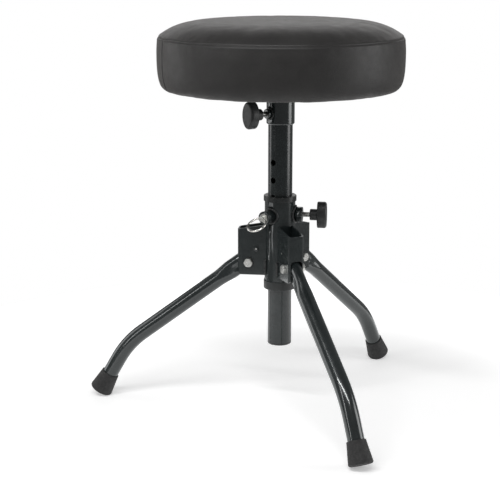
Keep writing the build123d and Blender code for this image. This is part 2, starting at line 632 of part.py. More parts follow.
def nodes():
    """Every node by name, built about the column's axis."""
    clamp_boss = threaded_boss(CLAMP_BOSS_RADIUS, COLUMN_RADIUS, CLAMP_BOSS_END, LOCK_HEIGHT)
    seat_clamp_boss = threaded_boss(SEAT_BOSS_RADIUS, SOCKET_RADIUS, SEAT_BOSS_END, SEAT_CLAMP_HEIGHT)
    parts = {
        "outer_tube": outer_tube(),
        "upper_bushing": bushing(COLUMN_TOP, UPPER_SKIRT, 1),
        "lower_bushing": bushing(COLUMN_BOTTOM, LOWER_SKIRT, -1),
        "weld_beads": welds(),
        "bracket_rivets": at_each_leg(bracket_rivet()),
        "rivet_cores": at_each_leg(rivet_core()),
        "pivot_bolts": at_each_leg(pivot_bolt()),
        "pivot_washers": at_each_leg(pivot_washer()),
        "pivot_nuts": at_each_leg(pivot_nut()),
        "pin_housing": turned(pin_housing(), LOCK_AZIMUTH),
        "housing_cap": turned(housing_cap(), LOCK_AZIMUTH),
        "locking_pin": turned(locking_pin(), LOCK_AZIMUTH),
        "pin_spring": turned(pin_spring(), LOCK_AZIMUTH),
        "pull_ring": turned(pull_ring(), LOCK_AZIMUTH),
        "clamp_boss": turned(clamp_boss, CLAMP_AZIMUTH),
        "clamp_pad": turned(clamp_pad(LOCK_HEIGHT), CLAMP_AZIMUTH),
        "clamp_screw": turned(clamp_screw(KNOB_NECK, LOCK_HEIGHT), CLAMP_AZIMUTH),
        "clamp_knob": turned(oval_knob(KNOB_NECK, LOCK_HEIGHT), CLAMP_AZIMUTH),
        "post_tube": post_tube(),
        "post_end_plug": post_end_plug(),
        "seat_cover": seat_cover(),
        "seat_foam": seat_foam(),
        "seat_board": seat_board(),
        "underside_cloth": underside_cloth(),
        "tee_nuts": group([tee_nut(x, y) for x, y in SCREW_PLACES]),
        "plate_screws": group([plate_screw(x, y) for x, y in SCREW_PLACES]),
        "seat_plate": seat_plate(),
        "seat_socket": seat_socket(),
        "socket_weld": socket_weld(),
        "seat_clamp_boss": turned(seat_clamp_boss, SEAT_CLAMP_AZIMUTH),
        "seat_clamp_pad": turned(clamp_pad(SEAT_CLAMP_HEIGHT), SEAT_CLAMP_AZIMUTH),
        "seat_clamp_screw": turned(clamp_screw(SEAT_KNOB_NECK, SEAT_CLAMP_HEIGHT), SEAT_CLAMP_AZIMUTH),
        "seat_clamp_knob": turned(oval_knob(SEAT_KNOB_NECK, SEAT_CLAMP_HEIGHT), SEAT_CLAMP_AZIMUTH),
    }
    channel, tube, bush, cap = bracket(), leg_tube(), pivot_bush(), foot_cap()
    for side, azimuth in LEG_AZIMUTHS.items():
        parts[f"{side}_bracket"] = turned(channel, azimuth)
        parts[f"{side}_leg_tube"] = turned(tube, azimuth)
        parts[f"{side}_pivot_bush"] = turned(bush, azimuth)
        parts[f"{side}_foot_cap"] = turned(cap, azimuth)
    return parts


os.makedirs("parts", exist_ok=True)
for name, shape in nodes().items():
    export_step(Pos(0, COLUMN_Y, 0) * shape, f"parts/{name}.step")
print("column's axis at y =", round(COLUMN_Y, 3))
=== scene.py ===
"""Looks of the drum throne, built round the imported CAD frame. Metres, +Z up, floor at z = 0."""

import json
import math

import bmesh
import bpy
import numpy as np
from mathutils import Matrix, Vector


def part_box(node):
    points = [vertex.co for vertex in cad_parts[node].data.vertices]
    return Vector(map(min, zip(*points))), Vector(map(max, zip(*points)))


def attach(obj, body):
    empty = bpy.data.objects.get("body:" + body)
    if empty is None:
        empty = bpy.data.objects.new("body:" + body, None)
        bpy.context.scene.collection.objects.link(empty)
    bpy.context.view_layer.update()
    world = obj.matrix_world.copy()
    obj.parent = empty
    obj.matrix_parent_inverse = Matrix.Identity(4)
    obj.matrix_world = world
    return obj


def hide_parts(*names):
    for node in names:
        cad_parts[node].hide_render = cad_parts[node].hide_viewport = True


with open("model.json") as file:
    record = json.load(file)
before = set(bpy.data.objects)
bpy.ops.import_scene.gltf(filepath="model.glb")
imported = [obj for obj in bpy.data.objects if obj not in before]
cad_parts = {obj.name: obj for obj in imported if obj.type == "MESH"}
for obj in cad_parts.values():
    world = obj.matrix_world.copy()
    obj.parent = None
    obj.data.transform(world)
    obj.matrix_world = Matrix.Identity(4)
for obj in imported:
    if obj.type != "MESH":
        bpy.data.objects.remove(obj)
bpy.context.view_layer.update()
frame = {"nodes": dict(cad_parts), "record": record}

MM = 0.001
LEGS = {"front": -90, "right": 30, "left": 150}  # azimuths round the column, in degrees
LOCK_AZIMUTH = -150
CLAMP_AZIMUTH = -30
SEAT_CLAMP_AZIMUTH = -165


def middle(node):
    low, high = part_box(node)
    return (low + high) / 2


COLUMN = middle("outer_tube")
COLUMN.z = 0
COLUMN_RADIUS = 19 * MM
SOCKET_RADIUS = 17.25 * MM
LOCK_HEIGHT = middle("clamp_boss").z
SEAT_CLAMP_HEIGHT = middle("seat_clamp_boss").z


# ------------------------------------------------------------------ mesh helpers
def add_mesh(name, vertices, faces, body, slot):
    """A smooth mesh piece that rides on a body, with its slot's material."""
    mesh = bpy.data.meshes.new(name)
    mesh.from_pydata([tuple(v) for v in vertices], [], faces)
    mesh.validate()
    mesh.materials.append(MATERIALS[slot])
    piece = bpy.data.objects.new(name, mesh)
    bpy.context.scene.collection.objects.link(piece)
    outward_normals(mesh)
    mesh.polygons.foreach_set("use_smooth", [True] * len(mesh.polygons))
    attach(piece, body)
    return piece


def outward_normals(mesh):
    shape = bmesh.new()
    shape.from_mesh(mesh)
    bmesh.ops.recalc_face_normals(shape, faces=shape.faces)
    shape.to_mesh(mesh)
    shape.free()


def grid_faces(rows, columns):
    """Quads of a grid whose vertices run row by row, and whose rows close into rings."""
    faces = []
    for row in range(rows - 1):
        for column in range(columns):
            after = (column + 1) % columns
            a, b = row * columns + column, row * columns + after
            faces.append((a, b, b + columns, a + columns))
    return faces


def end_fans(rows, columns, first_centre, last_centre):
    """Triangles that close a grid's first and last rings round their centres."""
    faces = []
    last_row = (rows - 1) * columns
    for column in range(columns):
        after = (column + 1) % columns
        faces.append((first_centre, after, column))
        faces.append((last_centre, last_row + column, last_row + after))
    return faces


def radial(azimuth):
    """Moves the radial frame, x outwards from the column, to its azimuth."""
    return Matrix.Translation(COLUMN) @ Matrix.Rotation(math.radians(azimuth), 4, "Z")


# ------------------------------------------------------------------ material helpers
class Nodes:
    """Builds one material's node tree around a Principled shader."""

    def __init__(self, name, **sockets):
        self.material = bpy.data.materials.new(name)
        self.material.use_nodes = True
        self.tree = self.material.node_tree
        self.shader = self.tree.nodes["Principled BSDF"]
        self.place = self.add("ShaderNodeTexCoord").outputs["Object"]
        self.normal = None
        for socket, value in sockets.items():
            self.shader.inputs[socket.replace("_", " ")].default_value = value

    def add(self, kind, **settings):
        node = self.tree.nodes.new(kind)
        for key, value in settings.items():
            setattr(node, key, value)
        return node

    def link(self, output, target):
        self.tree.links.new(output, target)

    def noise(self, size, detail=3, roughness=0.55, stretch=None, distortion=0.0):
        """Noise with features of the given size in metres; stretch scales each axis's features."""
        node = self.add("ShaderNodeTexNoise")
        node.inputs["Scale"].default_value = 1 / size
        node.inputs["Detail"].default_value = detail
        node.inputs["Roughness"].default_value = roughness
        node.inputs["Distortion"].default_value = distortion
        self.link(self.stretched(stretch), node.inputs["Vector"])
        return node.outputs["Fac"]

    def cells(self, size, feature, warp):
        """Voronoi distance, with cells of the given size in metres, warped out of true."""
        node = self.add("ShaderNodeTexVoronoi", feature=feature)
        node.inputs["Scale"].default_value = 1 / size
        self.link(self.warped(self.place, *warp), node.inputs["Vector"])
        return node.outputs["Distance"]

    def stretched(self, stretch):
        if stretch is None:
            return self.place
        mapping = self.add("ShaderNodeMapping")
        mapping.inputs["Scale"].default_value = [1 / s for s in stretch]
        self.link(self.place, mapping.inputs["Vector"])
        return mapping.outputs["Vector"]

    def warped(self, vector, size, amount):
        """The place, moved about by up to amount over distances of size."""
        noise = self.add("ShaderNodeTexNoise")
        noise.inputs["Scale"].default_value = 1 / size
        self.link(vector, noise.inputs["Vector"])
        centred = self.add("ShaderNodeVectorMath", operation="SUBTRACT")
        centred.inputs[1].default_value = (0.5, 0.5, 0.5)
        self.link(noise.outputs["Color"], centred.inputs[0])
        scaled = self.add("ShaderNodeVectorMath", operation="SCALE")
        scaled.inputs["Scale"].default_value = 2 * amount
        self.link(centred.outputs[0], scaled.inputs[0])
        moved = self.add("ShaderNodeVectorMath", operation="ADD")
        self.link(vector, moved.inputs[0])
        self.link(scaled.outputs[0], moved.inputs[1])
        return moved.outputs[0]

    def ranged(self, value, low, high, to_low=0.0, to_high=1.0):
        """Value between low and high, mapped smoothly to another range."""
        node = self.add("ShaderNodeMapRange", interpolation_type="SMOOTHSTEP")
        for key, number in zip(("From Min", "From Max", "To Min", "To Max"), (low, high, to_low, to_high)):
            node.inputs[key].default_value = number
        self.link(value, node.inputs["Value"])
        return node.outputs["Result"]

    def joined(self, a, b, operation="MULTIPLY"):
        node = self.add("ShaderNodeMath", operation=operation)
        self.link(a, node.inputs[0])
        if isinstance(b, (int, float)):
            node.inputs[1].default_value = b
        else:
            self.link(b, node.inputs[1])
        return node.outputs[0]

    def mixed(self, share, first, second):
        """Colour mixed from first to second by share; each is a colour or an output."""
        node = self.add("ShaderNodeMix", data_type="RGBA")
        self.link(share, node.inputs["Factor"])
        for socket, colour in (("A", first), ("B", second)):
            target = [s for s in node.inputs if s.name == socket and s.type == "RGBA"][0]
            if isinstance(colour, tuple):
                target.default_value = (*colour, 1)
            else:
                self.link(colour, target)
        return [s for s in node.outputs if s.type == "RGBA"][0]

    def colour(self, output):
        self.link(output, self.shader.inputs["Base Color"])

    def roughness(self, output):
        self.link(output, self.shader.inputs["Roughness"])

    def bump(self, height, distance, strength=1.0):
        """Adds a bump of the given depth in metres on top of the earlier ones."""
        node = self.add("ShaderNodeBump")
        node.inputs["Distance"].default_value = distance
        node.inputs["Strength"].default_value = strength
        self.link(height, node.inputs["Height"])
        if self.normal is not None:
            self.link(self.normal, node.inputs["Normal"])
        self.normal = node.outputs["Normal"]
        self.link(self.normal, self.shader.inputs["Normal"])


# ------------------------------------------------------------------ materials
def powder_coat():
    """Gloss black powder coat: faint orange peel and dust in places."""
    m = Nodes("black_powder_coat", Metallic=0.0, IOR=1.5, Coat_Weight=0.6, Coat_Roughness=0.06)
    m.shader.inputs["Coat Tint"].default_value = (0.95, 1, 1, 1)
    cloudy = m.ranged(m.noise(18 * MM, 4), 0.35, 0.7)
    dust = m.ranged(m.noise(1.1 * MM, 5, 0.7), 0.64, 0.84)
    base = m.mixed(cloudy, (0.0105, 0.0135, 0.0138), (0.0145, 0.018, 0.0184))
    m.colour(m.mixed(m.joined(dust, 0.08), base, (0.032, 0.036, 0.036)))
    rough = m.joined(m.ranged(m.noise(7 * MM, 5, 0.65), 0.3, 0.75, 0.17, 0.26), m.joined(dust, 0.06), "ADD")
    m.roughness(rough)
    m.bump(m.noise(3.2 * MM, 2), 0.006 * MM)
    return m.material


def post_coat():
    """The same coat on the post, with fine lengthwise rubbing from sliding in the bushing."""
    m = Nodes("black_steel_post", Metallic=0.0, IOR=1.5, Coat_Weight=0.2, Coat_Roughness=0.1)
    streaks = m.ranged(m.noise(0.7 * MM, 4, 0.6, stretch=(1, 1, 60)), 0.5, 0.78)
    cloudy = m.ranged(m.noise(15 * MM, 3), 0.35, 0.7)
    base = m.mixed(cloudy, (0.0095, 0.0135, 0.014), (0.0135, 0.0185, 0.0188))
    m.colour(m.mixed(m.joined(streaks, 0.15), base, (0.028, 0.031, 0.031)))
    m.roughness(m.joined(m.ranged(m.noise(6 * MM, 4), 0.3, 0.7, 0.19, 0.27), m.joined(streaks, 0.06), "ADD"))
    m.bump(m.noise(3.2 * MM, 2), 0.006 * MM)
    m.bump(m.noise(0.7 * MM, 4, 0.6, stretch=(1, 1, 60)), 0.002 * MM)
    return m.material


def painted_weld():
    """Paint over a weld: glossier on the ripples, dull in the pits."""
    m = Nodes("weld", Metallic=0.0, IOR=1.5)
    spots = m.ranged(m.noise(1.4 * MM, 4), 0.4, 0.7)
    m.colour(m.mixed(spots, (0.008, 0.009, 0.009), (0.02, 0.021, 0.021)))
    m.roughness(m.ranged(spots, 0, 1, 0.25, 0.45))
    m.bump(m.noise(0.9 * MM, 4), 0.12 * MM)
    return m.material


def zinc():
    """Bright zinc plate: slightly warm, with a fine crystalline mottle and scuffs."""
    m = Nodes("zinc_steel", Metallic=1.0)
    mottle = m.ranged(m.noise(0.9 * MM, 4), 0.3, 0.7)
    m.colour(m.mixed(mottle, (0.5, 0.5, 0.48), (0.78, 0.78, 0.75)))
    m.roughness(m.ranged(m.noise(0.5 * MM, 4), 0.3, 0.7, 0.2, 0.42))
    m.bump(m.noise(0.3 * MM, 3), 0.012 * MM)
    return m.material


def nickel():
    """Polished nickel wire with faint drawing marks."""
    m = Nodes("nickel_wire", Metallic=1.0)
    haze = m.ranged(m.noise(3 * MM, 4), 0.35, 0.7)
    m.colour(m.mixed(haze, (0.72, 0.7, 0.66), (0.82, 0.81, 0.78)))
    m.roughness(m.ranged(haze, 0, 1, 0.1, 0.24))
    m.bump(m.noise(0.25 * MM, 2), 0.003 * MM)
    return m.material


def spring_wire():
    m = Nodes("spring_steel", Metallic=1.0)
    oil = m.ranged(m.noise(1.5 * MM, 3), 0.35, 0.7)
    m.colour(m.mixed(oil, (0.2, 0.19, 0.18), (0.38, 0.37, 0.36)))
    m.roughness(m.ranged(oil, 0, 1, 0.25, 0.4))
    return m.material


def moulded_plastic(name, blacks, roughness):
    """Spark-eroded moulded plastic, polished a little where it is handled."""
    m = Nodes(name, Metallic=0.0, IOR=1.47)
    patches = m.ranged(m.noise(9 * MM, 4), 0.35, 0.7)
    m.colour(m.mixed(patches, *blacks))
    m.roughness(m.ranged(m.noise(5 * MM, 5, 0.65), 0.3, 0.75, *roughness))
    m.bump(m.noise(0.4 * MM, 3, 0.6), 0.02 * MM)
    return m.material


def rubber():
    """Matt black rubber with a fine pitted skin and pale dust."""
    m = Nodes("black_rubber", Metallic=0.0, IOR=1.5)
    dust = m.ranged(m.noise(2.2 * MM, 6, 0.7), 0.48, 0.75)
    wear = m.ranged(m.noise(14 * MM, 3), 0.35, 0.7)
    base = m.mixed(wear, (0.009, 0.009, 0.0092), (0.016, 0.016, 0.016))
    m.colour(m.mixed(m.joined(dust, 0.3), base, (0.06, 0.058, 0.055)))
    m.roughness(m.ranged(m.noise(3 * MM, 4), 0.3, 0.7, 0.55, 0.75))
    m.bump(m.noise(0.5 * MM, 4, 0.65), 0.05 * MM)
    return m.material


def leatherette():
    """Satin black leatherette: fine pebbled grain, with creases between the pebbles, darkened in the colour
    as painted shade.
    """
    m = Nodes("seat_leatherette", Metallic=0.0, IOR=1.48, Sheen_Weight=0.12, Sheen_Roughness=0.4)
    m.shader.inputs["Sheen Tint"].default_value = (0.75, 0.7, 0.66, 1)
    warp = (2.5 * MM, 0.35 * MM)
    pebbles = m.cells(0.95 * MM, "SMOOTH_F1", warp=warp)
    creases = m.cells(0.95 * MM, "DISTANCE_TO_EDGE", warp=warp)
    valley_and_shade = m.ranged(creases, 0.0, 0.16, 1, 0)
    cloudy = m.ranged(m.noise(35 * MM, 4), 0.32, 0.7)
    base = m.mixed(cloudy, (0.0165, 0.0155, 0.0152), (0.0235, 0.0222, 0.0215))
    # Painted shade: the colour is darkened in the creases between the pebbles.
    m.colour(m.mixed(m.joined(valley_and_shade, 0.55), base, (0.008, 0.0078, 0.0077)))
    patchy = m.ranged(m.noise(12 * MM, 5, 0.6), 0.3, 0.75, 0.4, 0.5)
    m.roughness(m.joined(patchy, m.joined(valley_and_shade, 0.14), "ADD"))
    m.bump(m.noise(6 * MM, 3), 0.05 * MM)
    m.bump(pebbles, -0.05 * MM)
    m.bump(valley_and_shade, -0.03 * MM)
    return m.material


def dust_cloth():
    """Thin black woven cloth."""
    m = Nodes("cloth", Metallic=0.0, Sheen_Weight=0.3, Sheen_Roughness=0.5)
    threads = []
    for direction in ("X", "Y"):
        wave = m.add("ShaderNodeTexWave", wave_type="BANDS", bands_direction=direction)
        wave.inputs["Scale"].default_value = 1 / (6 * MM)
        wave.inputs["Distortion"].default_value = 0.4
        wave.inputs["Detail Scale"].default_value = 2
        m.link(m.place, wave.inputs["Vector"])
        threads.append(wave.outputs["Fac"])
    weave = m.joined(*threads, "MAXIMUM")
    fluff = m.ranged(m.noise(4 * MM, 5, 0.7), 0.4, 0.75)
    base = m.mixed(weave, (0.007, 0.007, 0.0075), (0.028, 0.028, 0.029))
    m.colour(m.mixed(m.joined(fluff, 0.25), base, (0.05, 0.05, 0.05)))
    m.roughness(m.ranged(fluff, 0, 1, 0.8, 0.95))
    m.bump(weave, 0.12 * MM)
    return m.material


def plywood():
    """Bare plywood with its grain along x."""
    m = Nodes("plywood", Metallic=0.0)
    grain = m.ranged(m.noise(1.5 * MM, 5, 0.6, stretch=(14, 1, 1), distortion=0.4), 0.3, 0.7)
    m.colour(m.mixed(grain, (0.34, 0.21, 0.11), (0.55, 0.39, 0.23)))
    m.roughness(m.ranged(grain, 0, 1, 0.55, 0.75))
    m.bump(grain, 0.05 * MM)
    return m.material


KNOB_BLACKS = (0.015, 0.0165, 0.0165), (0.023, 0.0245, 0.0245)
BUSHING_BLACKS = (0.013, 0.015, 0.015), (0.02, 0.022, 0.022)
MATERIALS = {
    "black_powder_coat": powder_coat(),
    "black_steel_post": post_coat(),
    "weld": painted_weld(),
    "zinc_steel": zinc(),
    "nickel_wire": nickel(),
    "spring_steel": spring_wire(),
    "black_plastic": moulded_plastic("black_plastic", KNOB_BLACKS, (0.34, 0.5)),
    "bushing_plastic": moulded_plastic("bushing_plastic", BUSHING_BLACKS, (0.3, 0.45)),
    "black_rubber": rubber(),
    "seat_leatherette": leatherette(),
    "cloth": dust_cloth(),
    "plywood": plywood(),
}
SLOT_OF_NODE = {entry["node"]: entry["material_slot"] for entry in frame["record"]["subparts"]}
REPLACED = {"seat_cover", "seat_foam", "underside_cloth", "weld_beads", "socket_weld"}


# ------------------------------------------------------------------ CAD pieces that keep their shape
EDGE_ROUNDING = {  # width of the eased edges, where the solid's own are sharp
    "front_bracket": 0.35 * MM,
    "right_bracket": 0.35 * MM,
    "left_bracket": 0.35 * MM,
    "seat_plate": 0.4 * MM,
    "pivot_washers": 0.15 * MM,
    "pivot_nuts": 0.2 * MM,
    "pivot_bolts": 0.2 * MM,
    "post_tube": 0.2 * MM,
    "housing_cap": 0.15 * MM,
}
SHARP_ANGLE = math.radians(32)


def finish_cad_piece(name, piece):
    """Gives a CAD node its material, smooth shading and eased edges."""
    piece.data.materials.clear()
    piece.data.materials.append(MATERIALS[SLOT_OF_NODE[name]])
    weld = piece.modifiers.new("joined_faces", "WELD")
    weld.merge_threshold = 0.002 * MM
    if name in EDGE_ROUNDING:
        bevel = piece.modifiers.new("eased_edges", "BEVEL")
        bevel.width = EDGE_ROUNDING[name]
        bevel.segments = 2
        bevel.limit_method = "ANGLE"
        bevel.angle_limit = SHARP_ANGLE
        bevel.harden_normals = True
        piece.modifiers.new("even_shading", "WEIGHTED_NORMAL")


for node_name, node_piece in frame["nodes"].items():
    if node_name not in REPLACED:
        finish_cad_piece(node_name, node_piece)


# ------------------------------------------------------------------ the cushion
SEAM_RADIUS = 148.2 * MM
SEAM_HEIGHT = 466.3 * MM
CROWN_POWER = 6.6
SIDE_POWER = 3.05
WIDEST_HEIGHT = 447.3 * MM
FLAT_RADIUS = 135.5 * MM  # where the underside begins
HEM_RADIUS = 112 * MM
HEM_DEPTH = 1.2 * MM
BAND_SEAM_AZIMUTH = 179.1
SEAT_LOW, SEAT_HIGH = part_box("seat_cover")
SEAT_RADIUS = (SEAT_HIGH.x - SEAT_LOW.x) / 2


def crown_height(radius):
    return SEAM_HEIGHT + (SEAT_HIGH.z - SEAM_HEIGHT) * (1 - (radius / SEAM_RADIUS) ** CROWN_POWER)


def side_radius(height):
    """Radius of the side band and of the rounded lower edge."""
    if height > WIDEST_HEIGHT:
        share = (height - WIDEST_HEIGHT) / (SEAM_HEIGHT - WIDEST_HEIGHT)
        return SEAT_RADIUS - (SEAT_RADIUS - SEAM_RADIUS) * share**2
    share = min(1.0, (WIDEST_HEIGHT - height) / (WIDEST_HEIGHT - SEAT_LOW.z))
    return FLAT_RADIUS + (SEAT_RADIUS - FLAT_RADIUS) * (1 - share**SIDE_POWER) ** (1 / SIDE_POWER)


def cushion_profile():
    """Closely spaced (radius, height) points over the crown, down the side and under to the hem."""
    fine = [(r, crown_height(r)) for r in np.linspace(0.0, SEAM_RADIUS, 400)]
    fine += [(side_radius(z), z) for z in np.linspace(SEAM_HEIGHT, WIDEST_HEIGHT, 60)[1:]]
    turn = np.linspace(0, math.pi / 2, 400)[1:]
    fine += [(side_radius(z), z) for z in WIDEST_HEIGHT - (WIDEST_HEIGHT - SEAT_LOW.z) * np.sin(turn)]
    fine += [(r, SEAT_LOW.z) for r in np.linspace(FLAT_RADIUS, HEM_RADIUS, 60)[1:]]
    return np.array(fine)


PROFILE = cushion_profile()
STEPS = np.linalg.norm(np.diff(PROFILE, axis=0), axis=1)
ALONG = np.concatenate([[0], np.cumsum(STEPS)])  # distance from the crown's centre, over the cover
SEAM_ALONG = ALONG[399]
EDGE_ALONG = float(np.interp(-FLAT_RADIUS, -PROFILE[459:, 0], ALONG[459:]))
HEM_ALONG = ALONG[-1]


def profile_at(along):
    """Radius and height of points at the given distances over the cover."""
    return np.interp(along, ALONG, PROFILE[:, 0]), np.interp(along, ALONG, PROFILE[:, 1])


def profile_normal(along):
    """Outward direction, as radius and height parts, at the given distances."""
    ahead, behind = profile_at(along + MM), profile_at(along - MM)
    dr, dz = ahead[0] - behind[0], ahead[1] - behind[1]
    length = np.hypot(dr, dz)
    return -dz / length, dr / length


def ring_points(radius, height, angles):
    """Grid of points, one row for each radius and height."""
    radius, height = np.broadcast_arrays(radius, height)
    x = COLUMN.x + radius * np.cos(angles)
    y = COLUMN.y + radius * np.sin(angles)
    return np.stack([x, y, np.broadcast_to(height, x.shape)], axis=-1)


SIM_COLUMNS = 192
SIM_ROWS = 62
SIM_FRAMES = 20
SIM_PRESSURE = 4.0
SIM_SLACK = -0.012  # the cover is cut this much larger than the cushion between its seams
MOST_PUFF = 3.0 * MM
PUFF_SHARE = 0.2


def simulated_puff():
    """Cloth simulation of the cover, held at its seam and hem and blown up by its foam.

    Returns the distances over the cover, and how far each point moved outwards from its ring's mean.
    """
    along = np.linspace(8 * MM, HEM_ALONG, SIM_ROWS)
    seam_row = int(np.argmin(np.abs(along - SEAM_ALONG)))
    along[seam_row] = SEAM_ALONG
    angles = np.arange(SIM_COLUMNS) * 2 * math.pi / SIM_COLUMNS
    radius, height = profile_at(along)
    points = ring_points(radius[:, None], height[:, None], angles[None, :])
    top = Vector((COLUMN.x, COLUMN.y, SEAT_HIGH.z))
    vertices = [Vector(p) for p in points.reshape(-1, 3)] + [top]
    faces = grid_faces(SIM_ROWS, SIM_COLUMNS)
    last = len(vertices) - 1
    faces += [(last, (c + 1) % SIM_COLUMNS, c) for c in range(SIM_COLUMNS)]
    mesh = bpy.data.meshes.new("cover_simulation")
    mesh.from_pydata([tuple(v) for v in vertices], [], faces)
    outward_normals(mesh)
    cover = bpy.data.objects.new("cover_simulation", mesh)
    bpy.context.scene.collection.objects.link(cover)
    held = cover.vertex_groups.new(name="held")
    for row in (seam_row, SIM_ROWS - 2, SIM_ROWS - 1):
        held.add([row * SIM_COLUMNS + c for c in range(SIM_COLUMNS)], 1.0, "REPLACE")
    cloth = cover.modifiers.new("cloth", "CLOTH")
    settings = cloth.settings
    settings.quality = 8
    settings.mass = 0.35
    settings.tension_stiffness = 40
    settings.compression_stiffness = 20
    settings.shear_stiffness = 10
    settings.bending_stiffness = 0.8
    settings.shrink_min = SIM_SLACK
    settings.vertex_group_mass = "held"
    settings.use_pressure = True
    settings.uniform_pressure_force = SIM_PRESSURE
    settings.effector_weights.gravity = 0
    cloth.collision_settings.use_collision = False
    cloth.collision_settings.use_self_collision = False
    scene = bpy.context.scene
    for step in range(1, SIM_FRAMES + 1):
        scene.frame_set(step)
    moved = cover.evaluated_get(bpy.context.evaluated_depsgraph_get()).data
    after = np.array([v.co for v in moved.vertices])[:-1].reshape(points.shape)
    scene.frame_set(1)
    bpy.data.objects.remove(cover)
    normal_r, normal_z = profile_normal(along)
    out_r = (after - points)[..., 0] * np.cos(angles) + (after - points)[..., 1] * np.sin(angles)
    puff = out_r * normal_r[:, None] + (after - points)[..., 2] * normal_z[:, None]
    puff -= puff.mean(axis=1, keepdims=True)
    return along, np.clip(puff, -MOST_PUFF, MOST_PUFF)


def waves(angles, count, seed):
    """Smooth ripple round the seat, from several whole-number waves near count."""
    draw = np.random.default_rng(seed)
    total = np.zeros_like(angles)
    for _ in range(9):
        number = int(draw.integers(int(count * 0.6), int(count * 1.5)))
        total += draw.uniform(0.4, 1.0) * np.cos(number * angles + draw.uniform(0, 2 * math.pi))
    return total / 3


def bell(distance, width):
    return np.exp(-((distance / width) ** 2))


SEAM_DEPTH = 1.0 * MM
SEAM_WIDTH = 1.1 * MM
SEAM_ROLL = 0.25 * MM  # how far the fabric rolls out on both sides of the seam
BAND_SEAM_DEPTH = 0.9 * MM
PLEAT_DEPTH = 0.6 * MM
TUCK_DEPTH = 0.15 * MM
CUSHION_COLUMNS = 240


def cushion_rows():
    """Distances over the cover, closer together at the seam and round the lower edge."""
    crown = np.linspace(2 * MM, SEAM_ALONG - 9 * MM, 30)
    beside = np.array([0.4, 0.8, 1.3, 1.9, 2.6, 3.6, 5, 7]) * MM
    seam = SEAM_ALONG + np.concatenate([-beside[::-1], [0], beside])
    side = np.linspace(SEAM_ALONG + 9 * MM, EDGE_ALONG - 14 * MM, 14)
    edge = np.linspace(EDGE_ALONG - 12 * MM, EDGE_ALONG + 3 * MM, 12)
    under = np.linspace(EDGE_ALONG + 5 * MM, HEM_ALONG, 11)
    return np.concatenate([crown, seam, side, edge, under])


def cushion_angles():
    """Angles round the seat, closer together at the band's upright seam."""
    even = np.arange(CUSHION_COLUMNS) * 360 / CUSHION_COLUMNS
    beside = np.array([0.2, 0.4, 0.6, 0.9, 1.4])
    near = BAND_SEAM_AZIMUTH + np.concatenate([-beside[::-1], [0], beside])
    even = even[np.abs(even - BAND_SEAM_AZIMUTH) > 1.8]
    return np.radians(np.sort(np.concatenate([even, near])))


def interpolated(field, rows, columns_turn, along, angles):
    """The simulated field, read at other rows and angles."""
    place = angles / (2 * math.pi) * columns_turn
    low = np.floor(place).astype(int)
    share = place - low
    round_it = field[:, low % columns_turn] * (1 - share) + field[:, (low + 1) % columns_turn] * share
    return np.stack([np.interp(along, rows, round_it[:, c]) for c in range(len(angles))], axis=1)


def cushion():
    """The sewn cover: crowned top panel, pinched seam, slightly bulging band, pleats underneath."""
    along, angles = cushion_rows(), cushion_angles()
    radius, height = profile_at(along)
    normal_r, normal_z = profile_normal(along)
    from_seam = along[:, None] - SEAM_ALONG
    from_edge = along[:, None] - EDGE_ALONG
    under = np.clip(from_edge / (12 * MM), 0, 1)  # 1 where the cover lies on the board
    out = np.zeros((len(along), len(angles)))
    rows, puff = simulated_puff()
    out += PUFF_SHARE * (1 - under) * interpolated(puff, rows, SIM_COLUMNS, along, angles)
    # The seam is drawn in, and the fabric rolls over beside it
    out -= SEAM_DEPTH * bell(from_seam, SEAM_WIDTH)
    out += SEAM_ROLL * (bell(from_seam - 3 * MM, 2 * MM) + bell(from_seam + 3 * MM, 2 * MM))
    # Small gathers run a short way from the seam into both panels
    gathers = waves(angles, 52, 3)[None, :]
    out += 0.16 * MM * gathers * bell(np.abs(from_seam) - 4 * MM, 4 * MM)
    # The band is pulled unevenly over the lower edge, and pleated where it turns under
    tucks = waves(angles, 17, 5)[None, :] + 0.5 * waves(angles, 40, 6)[None, :]
    out += TUCK_DEPTH * tucks * bell(from_edge + 8 * MM, 11 * MM)
    folds = np.abs(waves(angles, 34, 8))[None, :]
    out -= PLEAT_DEPTH * np.minimum(folds, 1.2) * under
    # The band's two ends are sewn together
    apart = np.radians(BAND_SEAM_AZIMUTH) - angles[None, :]
    in_band = 1 / (1 + np.exp(-(from_seam - 3 * MM) / (1 * MM)))
    out -= BAND_SEAM_DEPTH * bell(apart * SEAT_RADIUS, 1.1 * MM) * in_band
    out += 0.25 * MM * bell(np.abs(apart) * SEAT_RADIUS - 3 * MM, 2 * MM) * in_band
    r = radius[:, None] + out * normal_r[:, None]
    z = height[:, None] + out * normal_z[:, None]
    points = ring_points(r, z, angles[None, :])
    foam_bottom = SEAT_LOW.z + HEM_DEPTH * 1.02
    inner = ring_points(np.array([HEM_RADIUS, HEM_RADIUS / 2])[:, None], foam_bottom, angles[None, :])
    vertices = list(points.reshape(-1, 3)) + list(inner.reshape(-1, 3))
    vertices.append((COLUMN.x, COLUMN.y, SEAT_HIGH.z))
    vertices.append((COLUMN.x, COLUMN.y, foam_bottom))
    shape = (len(along) + 2, len(angles))
    faces = grid_faces(*shape) + end_fans(*shape, len(vertices) - 2, len(vertices) - 1)
    piece = add_mesh("seat_cushion", vertices, faces, "seat", "seat_leatherette")
    smooth = piece.modifiers.new("smooth", "SUBSURF")
    smooth.levels = smooth.render_levels = 1
    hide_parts("seat_cover", "seat_foam")


cushion()


# ------------------------------------------------------------------ underside
CLOTH_LOW, CLOTH_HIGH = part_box("underside_cloth")
CLOTH_RADIUS = (CLOTH_HIGH.x - CLOTH_LOW.x) / 2
PLATE_HALF_DIAGONAL = 70 * MM
STAPLES = 28
STAPLE_INSET = 6 * MM


